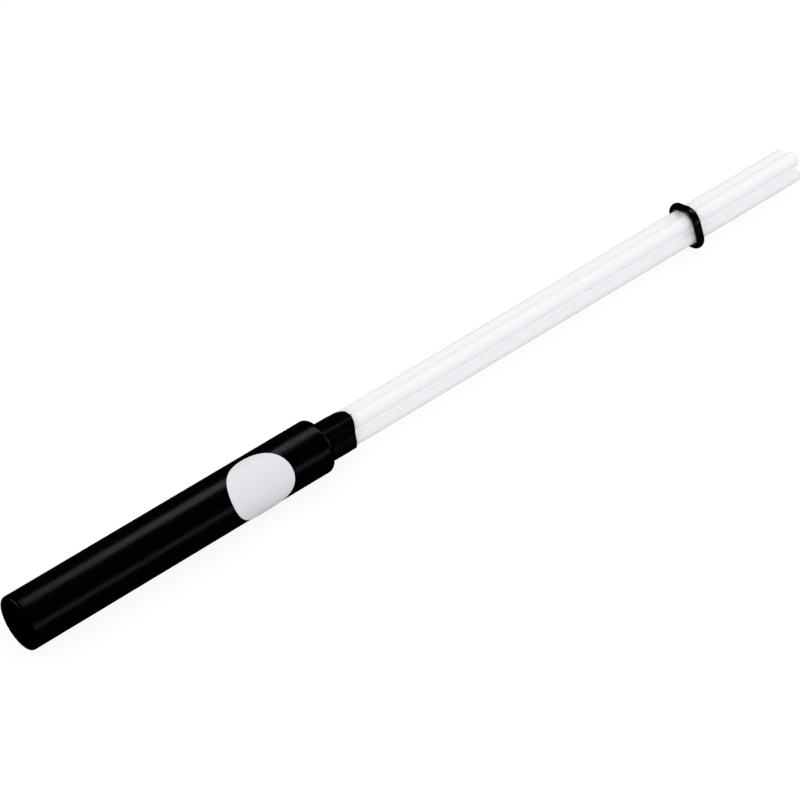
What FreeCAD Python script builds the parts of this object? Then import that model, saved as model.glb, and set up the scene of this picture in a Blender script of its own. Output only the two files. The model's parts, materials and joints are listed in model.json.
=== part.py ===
import FreeCAD, Part
import math
import os

from FreeCAD import Placement, Rotation, Vector

# A bundle rod drumstick that lies on a floor. Four round nylon rods stand in a square bundle. A shrink tube
# binds their butt ends, and they go through the end wall of a moulded vinyl grip that is open at the butt.
# A filler tube inside the grip centres the bundle, a rubber ring near the tip holds the rods together, and a
# blank round sticker is wrapped round the grip. All sizes are in millimetres and all angles in degrees.

# Each piece is modelled on a straight stick that lies along X, with the butt's mouth at zero and the tip in +X.
# The middle of the rods is at zero in Y and Z. Angles about it start at +Y and go up over +Z.

# Rods
rod_diameter = 6.5
rod_gap = 0.04  # between neighbouring rods, so that each can flex by itself
bundle_turn = 20.0  # where the back rod stands, and the other three follow a quarter turn apart
bundle_drop = 0.6  # how far the rods' middle sits below the grip's
stick_length = 398.0  # from the butt to the end of the shortest rod
rod_excess = {  # how far each rod sticks out past the shortest, because their tips aren't flush
    "rod_back": 0.4,
    "rod_top": 1.8,
    "rod_front": 0.6,
    "rod_bottom": 0.0,
}
rod_edge = 0.4  # bevel of the rods' cut ends

# Shrink tube round the rods
sleeve_wall = 0.5
sleeve_reach = 14.4  # how far it comes out of the grip, at the rods' middle
sleeve_lean = 14.7  # how far its cut end is out of square
sleeve_long_side = 23.0  # the side on which the leaning cut leaves it longest
sleeve_edge = 0.2  # bevel of its cut end

# Grip
grip_length = 149.5
grip_mouth_diameter = 24.1
grip_shoulder_diameter = 23.6
grip_bore = 21.7  # in the open butt
hollow_depth = 30.0  # from the mouth to the rods, the sleeve and the filler tube, which end flush
filler_bore = 20.9  # past the open butt, where the grip is tighter and its ledge stops the filler tube
grip_end_wall = 2.2
grip_shoulder_radius = 2.7
grip_lip_edge = 0.4  # bevel of the mouth, inside and outside

# Rubber ring
ring_section = 3.7
ring_from_tip = 55.2  # from the end of the shortest rod to the ring's middle
ring_flat = 0.85  # how far its stretch presses its inner side flat where it bears on the rods
ring_clearance = 0.05

# Round sticker
sticker_diameter = 30.0
sticker_thickness = 0.15
sticker_from_shoulder = 35.5  # from the grip's front to the sticker's middle
sticker_turn = 139.5

# Room between curved faces that seat on each other
seat_gap = 0.05

precision = 0.001
full_turn = 360.0
quarter_turn = full_turn / 4

rod_radius = rod_diameter / 2
rod_offset = (rod_diameter + rod_gap) / math.sqrt(2)  # from the rods' middle to each rod's axis
bundle_radius = rod_offset + rod_radius
rod_turn = {name: bundle_turn + place * quarter_turn for place, name in enumerate(rod_excess)}
sleeve_mouth = grip_length + sleeve_reach
sleeve_offset = seat_gap + sleeve_wall  # from the rods' outsides to the sleeve's outside
ring_station = stick_length - ring_from_tip
ring_inner_radius = bundle_radius + ring_clearance
ring_middle_radius = ring_inner_radius - ring_flat + ring_section / 2
sticker_station = grip_length - sticker_from_shoulder
stick_axis = Vector(1, 0, 0)  # the way in which rods and grip run
rods_middle = Vector(0, 0, 0)
grip_middle = Vector(0, 0, bundle_drop)


def across(turn, distance, station=0.0):
    """A point at a distance from the rods' middle, at an angle about it."""
    angle = math.radians(turn)
    return Vector(station, distance * math.cos(angle), distance * math.sin(angle))


def bundle_prism(offset, start, end):
    """A straight solid that hugs the four rods at an offset, from one station to another."""
    radius = rod_radius + offset
    edges = []
    for turn in rod_turn.values():
        centre = across(turn, rod_offset, start)
        sides = (turn - quarter_turn / 2, turn, turn + quarter_turn / 2)
        first, middle, last = [centre + across(side, radius) for side in sides]
        if edges:
            edges.append(Part.LineSegment(edges[-1].EndPoint, first))
        edges.append(Part.Arc(first, middle, last))
    edges.append(Part.LineSegment(edges[-1].EndPoint, edges[0].StartPoint))
    outline = Part.Wire([edge.toShape() for edge in edges])
    return Part.Face(outline).extrude(stick_axis * (end - start))


def edges_at(solid, station):
    """The edges of a solid that lie wholly in one plane across the stick."""
    boxes = [(edge, edge.BoundBox) for edge in solid.Edges]
    return [edge for edge, box in boxes if max(abs(box.XMin - station), abs(box.XMax - station)) < precision]


def make_rod(name):
    """One straight nylon rod, cut square and slightly bevelled at both ends."""
    start = across(rod_turn[name], rod_offset, hollow_depth)
    end = stick_length + rod_excess[name]
    rod = Part.makeCylinder(rod_radius, end - hollow_depth, start, stick_axis)
    return rod.makeChamfer(rod_edge, edges_at(rod, hollow_depth) + edges_at(rod, end))


def make_sleeve():
    """The shrink tube: it touches each rod's outside and spans straight from rod to rod."""
    past_mouth = sleeve_mouth + 2 * bundle_radius
    outside = bundle_prism(sleeve_offset, hollow_depth, past_mouth)
    inside = bundle_prism(seat_gap, hollow_depth, past_mouth)
    # The end was cut by hand, so it leans: a block whose near face is turned takes off the rest.
    reach = 4 * bundle_radius
    knife = Part.makeBox(reach, reach, reach, Vector(0, -reach / 2, -reach / 2))
    hinge = across(sleeve_long_side + quarter_turn, 1.0)
    knife.Placement = Placement(stick_axis * sleeve_mouth, Rotation(hinge, -sleeve_lean))
    solid = outside.cut(knife)
    mouth = [edge for edge in solid.Edges if edge.BoundBox.XMin > sleeve_mouth - bundle_radius]
    return solid.makeChamfer(sleeve_edge, mouth).cut(inside)


def grip_radius(station):
    """The outside radius of the grip, which narrows evenly from the butt to the shoulder."""
    slope = (grip_shoulder_diameter - grip_mouth_diameter) / 2 / grip_length
    return grip_mouth_diameter / 2 + slope * station


def make_grip():
    """The vinyl grip: one turned form with a round shoulder, bored from the butt up to its end wall."""
    outside = Part.makeCone(grip_radius(0), grip_radius(grip_length), grip_length, grip_middle, stick_axis)
    outside = outside.makeFillet(grip_shoulder_radius, edges_at(outside, grip_length))
    open_butt = Part.makeCylinder(grip_bore / 2, hollow_depth, grip_middle, stick_axis)
    tight_bore = Part.makeCylinder(filler_bore / 2, grip_length - grip_end_wall, grip_middle, stick_axis)
    tube = outside.cut([open_butt, tight_bore])
    tube = tube.makeChamfer(grip_lip_edge, edges_at(tube, 0.0))
    return tube.cut(bundle_prism(sleeve_offset + seat_gap, 0.0, grip_length))


def make_filler():
    """The filler tube: round outside to fit the grip's bore, and shaped inside to fit the sleeve."""
    length = grip_length - grip_end_wall - hollow_depth
    start = grip_middle + stick_axis * hollow_depth
    outside = Part.makeCylinder(filler_bore / 2 - seat_gap, length, start, stick_axis)
    return outside.cut(bundle_prism(sleeve_offset + seat_gap, hollow_depth, grip_length))


def make_ring():
    """The rubber ring, round in section but for the flat with which it bears on every rod."""
    half_flat = math.sqrt(ring_flat * (ring_section - ring_flat))
    first, last = [across(0.0, ring_inner_radius, ring_station + side) for side in (-half_flat, half_flat)]
    outermost = across(0.0, ring_middle_radius + ring_section / 2, ring_station)
    section = Part.Wire([Part.Arc(first, outermost, last).toShape(), Part.makeLine(last, first)])
    return Part.Face(section).revolve(rods_middle, stick_axis, full_turn)


def make_sticker():
    """The round sticker: a thin disc bent round the grip, so that its outline is a circle on the surface."""
    half = sticker_diameter / 2
    ends = (sticker_station - half, sticker_station + half)
    seat = max(grip_radius(end) for end in ends) + seat_gap
    surface = Part.Cylinder()
    surface.Radius = seat
    # The surface is laid along the stick, with its seam on the side away from the sticker.
    lay_down = Placement(Vector(), Rotation(Vector(0, 0, 1), stick_axis))
    face_out = Placement(grip_middle, Rotation(stick_axis, sticker_turn - quarter_turn))
    surface.transform((face_out * lay_down).toMatrix())
    point = FreeCAD.Base.Vector2d
    middle = point(math.pi, sticker_station)
    along = point(math.pi, sticker_station + half)
    around = point(math.pi + half / seat, sticker_station)
    outline = Part.Geom2d.Ellipse2d(along, around, middle).toShape(surface)
    disc = Part.Face(surface, Part.Wire([outline]))
    return disc.makeOffsetShape(sticker_thickness, precision, fill=True)


def lean_on(station, height, radius):
    """The lean at which an edge of the grip and the ring stand on one floor. The height is the grip's own."""
    run = ring_station - station
    rise = height - bundle_drop - ring_middle_radius
    drop = radius - ring_section / 2
    return math.degrees(math.atan2(rise, run) + math.asin(drop / math.hypot(run, rise)))


def moved(shape, place):
    """A copy of a piece, moved by a placement."""
    copy = shape.copy()
    copy.Placement = place * copy.Placement
    return copy


def lying_place():
    """How the straight stick is turned and lifted to rest on a floor, on its grip and its ring."""
    lip = lean_on(grip_lip_edge, grip_radius(grip_lip_edge), 0.0)
    round_start = grip_length - grip_shoulder_radius
    shoulder = lean_on(round_start, grip_radius(round_start) - grip_shoulder_radius, grip_shoulder_radius)
    lean = Placement(Vector(), Rotation(Vector(0, 1, 0), max(lip, shoulder)))
    box = Part.makeCompound([moved(shape, lean) for shape in pieces.values()]).optimalBoundingBox(False)
    return Placement(Vector(-box.Center.x, 0, -box.ZMin), Rotation()) * lean


pieces = {name: make_rod(name) for name in rod_turn}
pieces["rod_sleeve"] = make_sleeve()
pieces["grip"] = make_grip()
pieces["filler_tube"] = make_filler()
pieces["rubber_ring"] = make_ring()
pieces["round_sticker"] = make_sticker()
lying = lying_place()

os.makedirs("parts", exist_ok=True)
for name, shape in pieces.items():
    moved(shape, lying).exportStep(f"parts/{name}.step")
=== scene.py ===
import json
import math

import bmesh
import bpy
from mathutils import Matrix, Vector, noise


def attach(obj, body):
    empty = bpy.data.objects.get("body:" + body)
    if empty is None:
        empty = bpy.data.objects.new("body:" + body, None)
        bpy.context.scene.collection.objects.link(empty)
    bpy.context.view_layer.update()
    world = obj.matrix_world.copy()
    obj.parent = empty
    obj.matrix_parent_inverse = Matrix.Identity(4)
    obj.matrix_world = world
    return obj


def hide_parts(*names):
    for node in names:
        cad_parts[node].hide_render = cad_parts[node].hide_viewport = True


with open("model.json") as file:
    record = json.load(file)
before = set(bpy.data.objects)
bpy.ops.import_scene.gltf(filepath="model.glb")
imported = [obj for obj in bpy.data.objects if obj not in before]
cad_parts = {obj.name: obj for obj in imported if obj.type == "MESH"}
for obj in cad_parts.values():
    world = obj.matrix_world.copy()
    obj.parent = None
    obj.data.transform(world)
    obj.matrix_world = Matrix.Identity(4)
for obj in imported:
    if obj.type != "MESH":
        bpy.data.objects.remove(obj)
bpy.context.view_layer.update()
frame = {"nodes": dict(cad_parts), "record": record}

# The photographer's camera: a long lens that looks down on the stick from its butt end and its near side.
# It is aimed about a centimetre from the stick's middle, towards the butt.
looking = Vector((0.4127, 0.5165, -0.7501)).normalized()
picture_right = looking.cross(Vector((0, 0, 1))).normalized()
picture_up = picture_right.cross(looking)
near_stick_middle = Vector((-0.00979, 0.0, 0.01115))
aim_right = 0.00056
aim_down = 0.00095
camera_aim = near_stick_middle + aim_right * picture_right - aim_down * picture_up
camera_distance = 2.535

camera_data = bpy.data.cameras.new("camera")
camera_data.sensor_width = 36.0
camera_data.lens = 283.3
camera_data.clip_start = 0.05
camera = bpy.data.objects.new("camera", camera_data)
camera.location = camera_aim - camera_distance * looking
camera.rotation_euler = looking.to_track_quat("-Z", "Y").to_euler()
bpy.context.scene.collection.objects.link(camera)
bpy.context.scene.camera = camera

# The table: pale, and wide enough to run on past the picture. To the camera it is white and keeps a soft
# shadow, and it throws pale light back on the stick, but it is dark where the stick's gloss mirrors it.
table_half_width = 3.0
table_colour = (0.8, 0.8, 0.8)
table_glow = 0.9
table_under_glow = (0.12, 0.12, 0.12)
table_in_gloss = (0.006, 0.006, 0.007)


def matt_paint(tree, colour):
    """A matt shader of one colour."""
    node = tree.nodes.new("ShaderNodeBsdfDiffuse")
    node.inputs["Color"].default_value = (*colour, 1)
    return node.outputs[0]


def either(tree, factor, first, second):
    """The first shader where the factor is 0, and the second where it is 1."""
    node = tree.nodes.new("ShaderNodeMixShader")
    for place, source in enumerate((factor, first, second)):
        tree.links.new(source, node.inputs[place])
    return node.outputs[0]


floor_mesh = bpy.data.meshes.new("floor")
shape = bmesh.new()
bmesh.ops.create_grid(shape, x_segments=1, y_segments=1, size=table_half_width)
shape.to_mesh(floor_mesh)
shape.free()
floor = bpy.data.objects.new("floor", floor_mesh)
bpy.context.scene.collection.objects.link(floor)

table_top = bpy.data.materials.new("pale_table")
table_top.use_nodes = True
tree = table_top.node_tree
tree.nodes.clear()
rays = tree.nodes.new("ShaderNodeLightPath")
glow = tree.nodes.new("ShaderNodeEmission")
glow.inputs["Strength"].default_value = table_glow
white = tree.nodes.new("ShaderNodeAddShader")
tree.links.new(matt_paint(tree, table_under_glow), white.inputs[0])
tree.links.new(glow.outputs[0], white.inputs[1])
to_camera = either(tree, rays.outputs["Is Camera Ray"], matt_paint(tree, table_colour), white.outputs[0])
table_shader = either(tree, rays.outputs["Is Glossy Ray"], to_camera, matt_paint(tree, table_in_gloss))
out = tree.nodes.new("ShaderNodeOutputMaterial")
tree.links.new(table_shader, out.inputs["Surface"])
floor.data.materials.append(table_top)

# The studio's light: an even pale room, broad soft lamps overhead and at the near side, two long strips that
# draw the two soft lines along the grip, and a lamp behind the butt that draws the fine line round its lip.
room_light = 0.72
room_to_camera = 1.0
room_in_gloss = 0.005

world = bpy.data.worlds.new("room")
bpy.context.scene.world = world
world.use_nodes = True
tree = world.node_tree
tree.nodes.clear()
rays = tree.nodes.new("ShaderNodeLightPath")
room = tree.nodes.new("ShaderNodeBackground")
room.inputs["Color"].default_value = (1, 1, 1, 1)
seen = tree.nodes.new("ShaderNodeMapRange")
seen.inputs["To Min"].default_value = room_light
seen.inputs["To Max"].default_value = room_to_camera
tree.links.new(rays.outputs["Is Camera Ray"], seen.inputs["Value"])
tree.links.new(seen.outputs["Result"], room.inputs["Strength"])
dim_room = tree.nodes.new("ShaderNodeBackground")
dim_room.inputs["Color"].default_value = (1, 1, 1, 1)
dim_room.inputs["Strength"].default_value = room_in_gloss
room_shader = either(tree, rays.outputs["Is Glossy Ray"], room.outputs[0], dim_room.outputs[0])
out = tree.nodes.new("ShaderNodeOutputWorld")
tree.links.new(room_shader, out.inputs["Surface"])


def lamp(name, up_from_front, distance, shift, length, width, brightness, colour, in_gloss):
    """A long flat lamp at an angle up from the near side of the stick, turned to face it."""
    angle = math.radians(up_from_front)
    aside = Vector((0, -math.cos(angle), math.sin(angle)))
    data = bpy.data.lights.new(name, "AREA")
    data.shape = "RECTANGLE"
    data.size = length
    data.size_y = width
    data.energy = brightness * math.pi * length * width
    data.color = colour
    made = bpy.data.objects.new(name, data)
    along = Vector((1, 0, 0))
    made.matrix_world = Matrix((along, aside.cross(along), aside)).transposed().to_4x4()
    made.location = aside * distance + Vector((shift, 0, 0))
    made.visible_glossy = in_gloss
    bpy.context.scene.collection.objects.link(made)


lamp(
    "overhead", up_from_front=84, distance=1.7, shift=0.0, length=1.8, width=1.8,
    brightness=0.72, colour=(1.0, 0.99, 0.985), in_gloss=False)
lamp(
    "near_side", up_from_front=35, distance=1.7, shift=0.0, length=1.6, width=0.8,
    brightness=0.5, colour=(0.97, 0.98, 1.0), in_gloss=False)
lamp(
    "upper_strip", up_from_front=116, distance=1.2, shift=1.2, length=1.9, width=0.58,
    brightness=0.84, colour=(0.98, 0.94, 1.16), in_gloss=True)
lamp(
    "lower_strip", up_from_front=12.5, distance=1.2, shift=0.54, length=1.9, width=0.30,
    brightness=0.37, colour=(0.82, 0.8, 1.2), in_gloss=True)
lamp(
    "behind_the_butt", up_from_front=161, distance=0.9, shift=-1.3, length=1.2, width=0.9,
    brightness=0.85, colour=(1.0, 1.0, 1.0), in_gloss=True)

# Rods: four straight lengths of extruded nylon rod, milky white, that let light through. They stand a hair
# apart in a square bundle, so that each can flex, and their sawn ends are tumbled round.
rod_radius = 0.00325
rod_pitch = 0.00654  # from the middle of one rod to the middle of the next
rod_apart = rod_pitch / math.sqrt(2)  # from the rods' middle to each rod's own
rod_round = 0.0015
rod_round_parts = 5
rod_sides = 48
hollow_depth = 0.030  # from the butt to where the rods, the shrink tube and the filler tube end flush
rod_ends = {"rod_back": 0.3989, "rod_top": 0.3998, "rod_front": 0.3986, "rod_bottom": 0.398}
bundle_turn = 20  # where the back rod stands
quarter_turn = 90
eighth_turn = 45
rod_turns = {name: bundle_turn + quarter_turn * place for place, name in enumerate(rod_ends)}

# Every piece is made on the straight stick, whose butt is at zero and whose rods' middle is the X axis. The
# record gives where the open butt's bore lies, and with it how the stick lies on the table.
grip_rise = 0.0006
bore_middle = Vector((0.0152, 0, grip_rise))
socket = frame["record"]["mounts"][0]
stick_lean = math.atan2(socket["axis"][2], -socket["axis"][0])
leaning = Matrix.Rotation(stick_lean, 4, "Y")
lying = Matrix.Translation(socket["pos_m"]) @ leaning @ Matrix.Translation(-bore_middle)

same_point = 0.000002
sharp_angle = 50


def across(turn, distance, station=0.0):
    """A point beside the rods' middle, at an angle about it in degrees."""
    return Vector((station, distance * math.cos(math.radians(turn)), distance * math.sin(math.radians(turn))))


def surface(name, colour, roughness):
    """A new material with a shader for this finish, and coordinates that run along the stick."""
    made = bpy.data.materials.new(name)
    made.use_nodes = True
    nodes = made.node_tree.nodes
    shader = nodes["Principled BSDF"]
    shader.inputs["Base Color"].default_value = (*colour, 1)
    shader.inputs["Roughness"].default_value = roughness
    place = nodes.new("ShaderNodeTexCoord")
    straight = nodes.new("ShaderNodeMapping")
    straight.inputs["Location"].default_value = lying.inverted().to_translation()
    straight.inputs["Rotation"].default_value = (0, -stick_lean, 0)
    made.node_tree.links.new(place.outputs["Object"], straight.inputs["Vector"])
    return made, shader, straight.outputs["Vector"]


def stretched(material, where, scale):
    """Coordinates scaled by axis, so that a noise becomes streaks or long waves."""
    node = material.node_tree.nodes.new("ShaderNodeVectorMath")
    node.operation = "MULTIPLY"
    node.inputs[1].default_value = scale
    material.node_tree.links.new(where, node.inputs[0])
    return node.outputs[0]


def mottle(material, where, scale, detail=3.0):
    """A noise along the stick, with its own scale for each axis."""
    node = material.node_tree.nodes.new("ShaderNodeTexNoise")
    node.inputs["Scale"].default_value = 1.0
    node.inputs["Detail"].default_value = detail
    material.node_tree.links.new(stretched(material, where, scale), node.inputs["Vector"])
    return node.outputs["Fac"]


def between(material, factor, low, high, start=0.3, end=0.7):
    """A value that goes from low to high as the pattern goes from start to end."""
    node = material.node_tree.nodes.new("ShaderNodeMapRange")
    node.inputs["From Min"].default_value = start
    node.inputs["From Max"].default_value = end
    node.inputs["To Min"].default_value = low
    node.inputs["To Max"].default_value = high
    material.node_tree.links.new(factor, node.inputs["Value"])
    return node.outputs["Result"]


def tinted(material, factor, first, second):
    """A colour that goes from the first to the second with a pattern."""
    node = material.node_tree.nodes.new("ShaderNodeMix")
    node.data_type = "RGBA"
    node.inputs["A"].default_value = (*first, 1)
    node.inputs["B"].default_value = (*second, 1)
    material.node_tree.links.new(factor, node.inputs["Factor"])
    return node.outputs["Result"]


def roughened(material, shader, pattern, low, high):
    """A finish whose roughness goes from low to high with a pattern."""
    material.node_tree.links.new(between(material, pattern, low, high), shader.inputs["Roughness"])


def raised(material, shader, pattern, height, strength):
    """A finish that a pattern raises in fine bumps."""
    node = material.node_tree.nodes.new("ShaderNodeBump")
    node.inputs["Strength"].default_value = strength
    node.inputs["Distance"].default_value = height
    material.node_tree.links.new(pattern, node.inputs["Height"])
    material.node_tree.links.new(node.outputs["Normal"], shader.inputs["Normal"])


def round_off(shape, edges, size, parts):
    """Rounds some edges of a piece."""
    bmesh.ops.bevel(
        shape, geom=edges, offset=size, offset_type="OFFSET", segments=parts, profile=0.5, affect="EDGES",
        material=-1)


def laid(name, shape, body, node, finish):
    """A finished piece, taken from the straight stick to where the stick lies, in place of its CAD node."""
    bmesh.ops.remove_doubles(shape, verts=shape.verts, dist=same_point)
    bmesh.ops.recalc_face_normals(shape, faces=shape.faces)
    bmesh.ops.transform(shape, matrix=lying, verts=shape.verts)
    mesh = bpy.data.meshes.new(name)
    shape.to_mesh(mesh)
    shape.free()
    mesh.shade_smooth()
    mesh.set_sharp_from_angle(angle=math.radians(sharp_angle))
    mesh.materials.append(finish)
    piece = bpy.data.objects.new(name, mesh)
    bpy.context.scene.collection.objects.link(piece)
    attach(piece, body)
    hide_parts(node)


nylon, shader, along_stick = surface("milky_nylon", colour=(0.93, 0.925, 0.965), roughness=0.38)
clouds = mottle(nylon, along_stick, scale=(60, 260, 260))
cloudy = tinted(
    nylon, between(nylon, clouds, low=0, high=1), first=(0.91, 0.905, 0.965), second=(0.97, 0.965, 1.0))
nylon.node_tree.links.new(cloudy, shader.inputs["Base Color"])
shader.inputs["Subsurface Weight"].default_value = 1.0
shader.inputs["Subsurface Radius"].default_value = (1.0, 0.98, 1.06)
shader.inputs["Subsurface Scale"].default_value = 0.006
drawn = mottle(nylon, along_stick, scale=(14, 2600, 2600))
roughened(nylon, shader, drawn, low=0.32, high=0.5)
raised(nylon, shader, drawn, height=0.00004, strength=0.5)
# A painted glow: emission on the rods' inner sides, near the bundle's middle, lightens the narrow clefts
# between the rods in place of light coming through the nylon.
from_middle = nylon.node_tree.nodes.new("ShaderNodeVectorMath")
from_middle.operation = "LENGTH"
nylon.node_tree.links.new(stretched(nylon, along_stick, scale=(0, 1, 1)), from_middle.inputs[0])
painted_cleft_glow = between(nylon, from_middle.outputs["Value"], low=0.13, high=0, start=0.004, end=0.0057)
shader.inputs["Emission Color"].default_value = (0.96, 0.95, 1.0, 1)
nylon.node_tree.links.new(painted_cleft_glow, shader.inputs["Emission Strength"])

for name, end in rod_ends.items():
    shape = bmesh.new()
    bmesh.ops.create_cone(
        shape, cap_ends=True, segments=rod_sides, radius1=rod_radius, radius2=rod_radius,
        depth=end - hollow_depth, matrix=Matrix.Rotation(math.radians(quarter_turn), 4, "Y"))
    rims = [edge for edge in shape.edges if abs(edge.verts[0].co.x - edge.verts[1].co.x) < rod_round]
    round_off(shape, rims, rod_round, rod_round_parts)
    middle = across(rod_turns[name], rod_apart, (hollow_depth + end) / 2)
    bmesh.ops.translate(shape, vec=middle, verts=shape.verts)
    laid("nylon_" + name, shape, body="stick", node=name, finish=nylon)

# Shrink tube: a thin black heat-shrink tube that pulls the butt half of the rods together. It lies on the
# rods, dips a little between them and at its mouth, and is thicker on its lower side. The mouth was cut by
# hand, so the cut slants, and its long corner is round.
tube_clearance = 0.00005
tube_wall = 0.0005
tube_sides = 120
tube_plain_hoops = 4
tube_shaped_from = 0.148
tube_shaped_length = 0.016
tube_shaped_hoops = 32
tube_out_of_grip_from = 0.1497
tube_neck = 0.003  # the length over which the dips and lumps come up as it leaves the grip

tube_cut = 0.1643  # at the rods' middle
tube_cut_lean = 14.7
tube_long_side = 23
tube_corner_side = 34.5
tube_corner_reach = 0.00615  # the corner is cut back where the tube reaches further out than this
tube_corner_roundness = 834  # how fast it is cut back there, per metre

tube_dip = 0.00022
tube_dip_from = 25  # how far from a rod the dip begins
tube_mouth_dip = 0.00026
tube_mouth_dip_side = 43
tube_mouth_dip_length = 0.006
tube_deepest_dip = 0.0004
tube_thickening = 0.00037
tube_thick_side = 225
tube_lump = 0.00007
tube_lump_scale = Vector((420, 260, 260))


def from_rod(turn):
    """How far an angle is from that of the nearest rod."""
    return abs((turn - bundle_turn + eighth_turn) % quarter_turn - eighth_turn)


def bundle_reach(turn, clearance):
    """How far out the outline that hugs the rods lies at an angle about their middle, in degrees."""
    aside = math.radians(from_rod(turn))
    bend = math.radians(eighth_turn)
    radius = rod_radius + clearance
    side = radius * math.sin(bend)
    if aside < math.atan2(side, rod_apart + side):
        return rod_apart * math.cos(aside) + math.sqrt(radius ** 2 - (rod_apart * math.sin(aside)) ** 2)
    return (rod_apart * math.cos(bend) + radius) / math.cos(bend - aside)


def turn_of(point):
    """A point's angle about the rods' middle, in degrees."""
    return math.degrees(math.atan2(point.z, point.y))


def facing(turn, side):
    """1 where an angle is on this side of the stick, falling to 0 a quarter turn from it."""
    return max(0.0, math.cos(math.radians(turn - side)))


def turned(outline, height, sides):
    """A form turned about a line along the stick, at a height, from an outline of stations and radii."""
    made = bmesh.new()
    corners = [made.verts.new((station, radius, height)) for station, radius in outline]
    for first, second in zip(corners, corners[1:] + corners[:1]):
        made.edges.new((first, second))
    bmesh.ops.spin(
        made, geom=made.edges[:], cent=(0, 0, height), axis=(1, 0, 0), angle=2 * math.pi, steps=sides,
        use_merge=True)
    return made


def tube_cut_at(point, turn):
    """The station of the tube's cut beside a point of its wall."""
    slanting = tube_cut + math.tan(math.radians(tube_cut_lean)) * (point @ across(tube_long_side, 1.0))
    reach = bundle_reach(turn, tube_clearance + tube_wall) * facing(turn, tube_corner_side)
    return slanting - tube_corner_roundness * max(0.0, reach - tube_corner_reach) ** 2


shrunk, shader, along_stick = surface("black_shrink_tube", colour=(0.0004, 0.0004, 0.0005), roughness=0.4)
shader.inputs["Specular IOR Level"].default_value = 0.24
lumps = mottle(shrunk, along_stick, scale=(260, 420, 420))
roughened(shrunk, shader, lumps, low=0.3, high=0.46)
raised(shrunk, shader, lumps, height=0.0003, strength=0.5)

# It is turned with radii that only tell its outside from its inside, and then fitted to the rods.
inside, outside = 1.0, 2.0
plain_length = tube_shaped_from - hollow_depth
stations = [hollow_depth + plain_length * step / tube_plain_hoops for step in range(tube_plain_hoops)]
for step in range(tube_shaped_hoops + 1):
    stations.append(tube_shaped_from + tube_shaped_length * step / tube_shaped_hoops)
outline = [(station, outside) for station in stations] + [(station, inside) for station in reversed(stations)]
shape = turned(outline, height=0.0, sides=tube_sides)
for vert in shape.verts:
    turn = turn_of(vert.co)
    is_outside = math.hypot(vert.co.y, vert.co.z) > (inside + outside) / 2
    wall = tube_wall if is_outside else 0.0
    vert.co = across(turn, bundle_reach(turn, tube_clearance + wall), vert.co.x)
    # Past the shoulder, the tube's hoops are slanted more and more, up to its cut.
    cut = tube_cut_at(vert.co, turn)
    share = max(0.0, (vert.co.x - tube_shaped_from) / tube_shaped_length)
    vert.co.x += share * (cut - tube_shaped_from - tube_shaped_length)
    out_of_grip = min(1.0, (vert.co.x - tube_out_of_grip_from) / tube_neck)
    if is_outside and out_of_grip > 0:
        between_rods = max(0.0, (from_rod(turn) - tube_dip_from) / (eighth_turn - tube_dip_from))
        near_mouth = max(0.0, 1 - (cut - vert.co.x) / tube_mouth_dip_length)
        mouth_dip = tube_mouth_dip * near_mouth * facing(turn, tube_mouth_dip_side)
        dip = min(tube_deepest_dip, tube_dip * between_rods + mouth_dip)
        thicker = tube_thickening * facing(turn, tube_thick_side) ** 2
        lump = tube_lump * noise.noise(vert.co * tube_lump_scale)
        vert.co += across(turn, (thicker + lump - dip) * out_of_grip)
laid("shrink_tube", shape, body="stick", node="rod_sleeve", finish=shrunk)

# Filler tube: a dull black plastic tube inside the grip that the bundle is pushed through. It can only be
# seen at the bottom of the open butt.
filler, shader, along_stick = surface("dull_black_filler", colour=(0.014, 0.014, 0.014), roughness=0.7)
grain = mottle(filler, along_stick, scale=(500, 900, 900))
roughened(filler, shader, grain, low=0.6, high=0.8)
raised(filler, shader, grain, height=0.0002, strength=0.4)


def finished(name, finish):
    """Gives a CAD node, which is shown as it is, a finish of its own."""
    materials = frame["nodes"][name].data.materials
    materials.clear()
    materials.append(finish)


finished("filler_tube", filler)

# Grip: a moulded black vinyl tube, glossy and a little wavy. Its butt is open with a rounded lip, and its
# other end turns in over a round shoulder to an end wall that hugs the shrink tube.
grip_length = 0.1495
grip_mouth_radius = 0.01205
grip_shoulder_radius = 0.0118
grip_bore_radius = 0.01085
filler_bore_radius = 0.01045
grip_sides = 128
end_wall = 0.0022
wall_hole_radius = 0.0085  # as it is turned, before it is fitted to the tube
wall_hole_clearance = 0.00056
shoulder_round = 0.0028
shoulder_parts = 8
lip_reach = 0.0012
lip_turn_in = 0.0007
lip_parts = 8
lip_inner_round = 0.0003
lip_inner_parts = 4

skin_radius = 0.0112  # only the grip's outside lies further out than this
skin_length = 0.13  # only the edges that run along the grip are longer than this
wave_hoops = 60
wave_depth = 0.00002
wave_scale_along = 55
wave_scale_round = 1.4
wave_fade = 0.01
wave_end = 0.003  # how far short of the grip's front the waves end

vinyl, shader, along_stick = surface("black_vinyl", colour=(0.0002, 0.0002, 0.0003), roughness=0.25)
skin = mottle(vinyl, along_stick, scale=(120, 180, 180), detail=2.0)
roughened(vinyl, shader, skin, low=0.2, high=0.28)
waves = mottle(vinyl, along_stick, scale=(28, 60, 60), detail=2.0)
raised(vinyl, shader, waves, height=0.0006, strength=0.35)

lip = []
for step in range(lip_parts + 1):
    angle = math.radians(quarter_turn * step / lip_parts)
    turned_in = lip_turn_in * (1 - math.sin(angle))
    lip.append((lip_reach * (1 - math.cos(angle)), grip_mouth_radius - turned_in))
outline = [
    (hollow_depth, filler_bore_radius), (hollow_depth, grip_bore_radius), (0, grip_bore_radius),
    *lip, (grip_length, grip_shoulder_radius), (grip_length, wall_hole_radius),
    (grip_length - end_wall, wall_hole_radius), (grip_length - end_wall, filler_bore_radius),
]
shape = turned(outline, height=grip_rise, sides=grip_sides)


def out_of_grip_middle(vert):
    """How far a vertex of the grip lies from the grip's own middle line."""
    return math.hypot(vert.co.y, vert.co.z - grip_rise)


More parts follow.
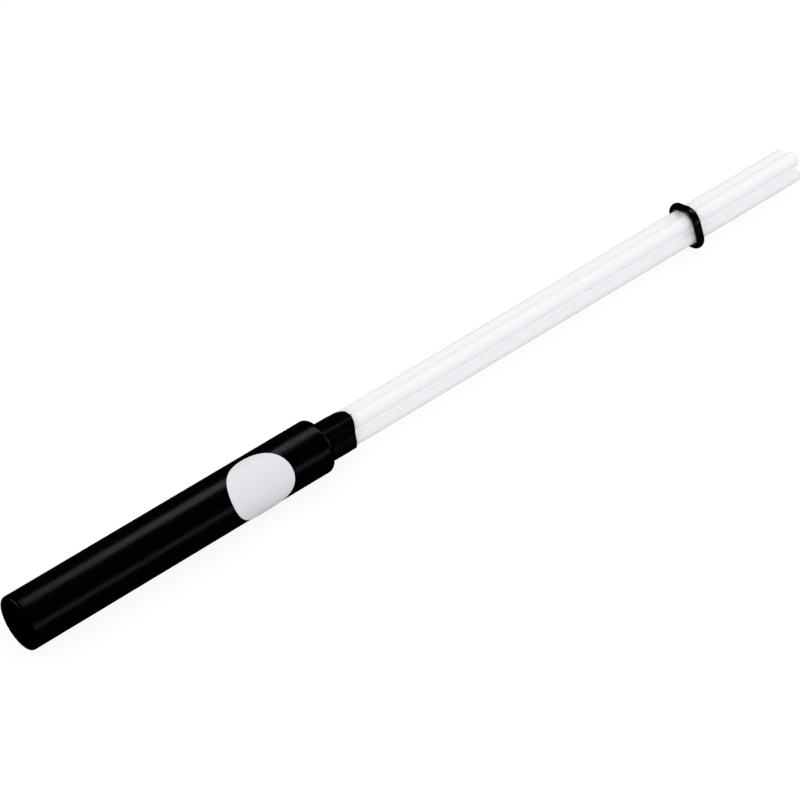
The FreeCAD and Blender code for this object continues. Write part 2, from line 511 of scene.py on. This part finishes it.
def hoops(station, radius):
    """The grip's edges that run round it at a station and a radius."""
    near = 0.00001
    found = []
    for edge in shape.edges:
        ends = [(vert.co.x - station, out_of_grip_middle(vert) - radius) for vert in edge.verts]
        if all(math.hypot(*end) < near for end in ends):
            found.append(edge)
    return found


hole_edges = hoops(grip_length, wall_hole_radius) + hoops(grip_length - end_wall, wall_hole_radius)
for vert in {vert for edge in hole_edges for vert in edge.verts}:
    turn = turn_of(vert.co)
    vert.co = across(turn, bundle_reach(turn, wall_hole_clearance), vert.co.x)
round_off(shape, hoops(grip_length, grip_shoulder_radius), shoulder_round, shoulder_parts)
round_off(shape, hoops(0, grip_bore_radius), lip_inner_round, lip_inner_parts)
long_edges = [edge for edge in shape.edges if edge.calc_length() > skin_length]
skin_edges = [edge for edge in long_edges if out_of_grip_middle(edge.verts[0]) > skin_radius]
bmesh.ops.subdivide_edges(shape, edges=skin_edges, cuts=wave_hoops)
for vert in shape.verts:
    radius = out_of_grip_middle(vert)
    # Its skin isn't quite true: it sinks in by a few hundredths of a millimetre, in long soft waves.
    from_ends = min(vert.co.x, grip_length - wave_end - vert.co.x)
    if radius > skin_radius and from_ends > 0:
        outwards = Vector((0, vert.co.y, vert.co.z - grip_rise)) / radius
        round_stick = wave_scale_round / radius
        where = Vector((vert.co.x * wave_scale_along, vert.co.y * round_stick, vert.co.z * round_stick))
        vert.co -= wave_depth * (1 + noise.noise(where)) * min(1.0, from_ends / wave_fade) * outwards
laid("vinyl_grip", shape, body="stick", node="grip", finish=vinyl)

# Sticker: a round disc of white vinyl film with a gloss, cut out flat and stuck on the grip, so that it bends
# round it. Its face is bare.
film, shader, along_stick = surface("white_film", colour=(0.79, 0.79, 0.82), roughness=0.3)
ripple = mottle(film, along_stick, scale=(160, 160, 160), detail=2.0)
roughened(film, shader, ripple, low=0.26, high=0.36)
raised(film, shader, ripple, height=0.00005, strength=0.2)
finished("round_sticker", film)

# Rubber ring: a moulded black rubber ring, stretched over the rods near the tip so that it runs straight
# from rod to rod. It keeps a fine flash line from its mould, and a lump where it was joined.
ring_station = 0.3423
ring_half_width = 0.002
ring_half_thickness = 0.00141
ring_clearance = 0.00005
ring_section_sides = 28
ring_corner_parts = 14
ring_straight_parts = 6
ring_skew = 0.045
ring_tip_side = 34.5  # the side that the skew brings nearest the tip
flash_height = 0.00003
lump_height = 0.0003
lump_turn = 79
lump_spread = 9

rubber, shader, along_stick = surface("black_rubber", colour=(0.001, 0.001, 0.0011), roughness=0.36)
dust = mottle(rubber, along_stick, scale=(700, 700, 700))
shader.inputs["Specular IOR Level"].default_value = 0.9
roughened(rubber, shader, dust, low=0.14, high=0.26)
raised(rubber, shader, dust, height=0.00008, strength=0.5)

# Its section is drawn beside the back rod, and led round each rod and straight on to the next.
first_rod = bundle_turn
first_turn = first_rod - eighth_turn
shape = bmesh.new()
bmesh.ops.create_circle(shape, segments=ring_section_sides, radius=1.0)
bmesh.ops.scale(shape, vec=(ring_half_width, ring_half_thickness, 1), verts=shape.verts)
flash = max(shape.verts, key=lambda vert: vert.co.y)
flash.co.y += flash_height
beside_rod = (ring_station, rod_radius + ring_clearance + ring_half_thickness, 0)
bmesh.ops.translate(shape, vec=beside_rod, verts=shape.verts)
bmesh.ops.rotate(shape, matrix=Matrix.Rotation(math.radians(first_turn), 3, "X"), verts=shape.verts)
bmesh.ops.translate(shape, vec=across(first_rod, rod_apart), verts=shape.verts)


def led_on(edges, **path):
    """Leads the ring's section on from these edges along a path, and gives the edges at its end."""
    last = bmesh.ops.spin(shape, geom=edges, axis=(1, 0, 0), **path)["geom_last"]
    return [part for part in last if isinstance(part, bmesh.types.BMEdge)]


edges = shape.edges[:]
turns = list(rod_turns.values())
for turn, next_turn in zip(turns, turns[1:] + turns[:1]):
    centre = across(turn, rod_apart)
    step_on = (across(next_turn, rod_apart) - centre) / ring_straight_parts
    edges = led_on(edges, cent=centre, angle=math.radians(quarter_turn), steps=ring_corner_parts)
    edges = led_on(edges, dvec=step_on, angle=0, steps=ring_straight_parts)
for vert in shape.verts:
    turn = turn_of(vert.co)
    near_lump = max(0.0, 1 - abs(turn - lump_turn) / lump_spread)
    from_rods = math.hypot(vert.co.y, vert.co.z) - bundle_reach(turn, ring_clearance)
    lump = near_lump ** 2 * (3 - 2 * near_lump) * from_rods / (2 * ring_half_thickness)
    # It sits a little askew on the rods, its upper side nearer the tip.
    towards_tip = ring_skew * (vert.co @ across(ring_tip_side, 1.0))
    vert.co += across(turn, lump_height * lump, towards_tip)
laid("ring_of_rubber", shape, body="ring", node="rubber_ring", finish=rubber)

bpy.context.scene.view_settings.view_transform = "Standard"
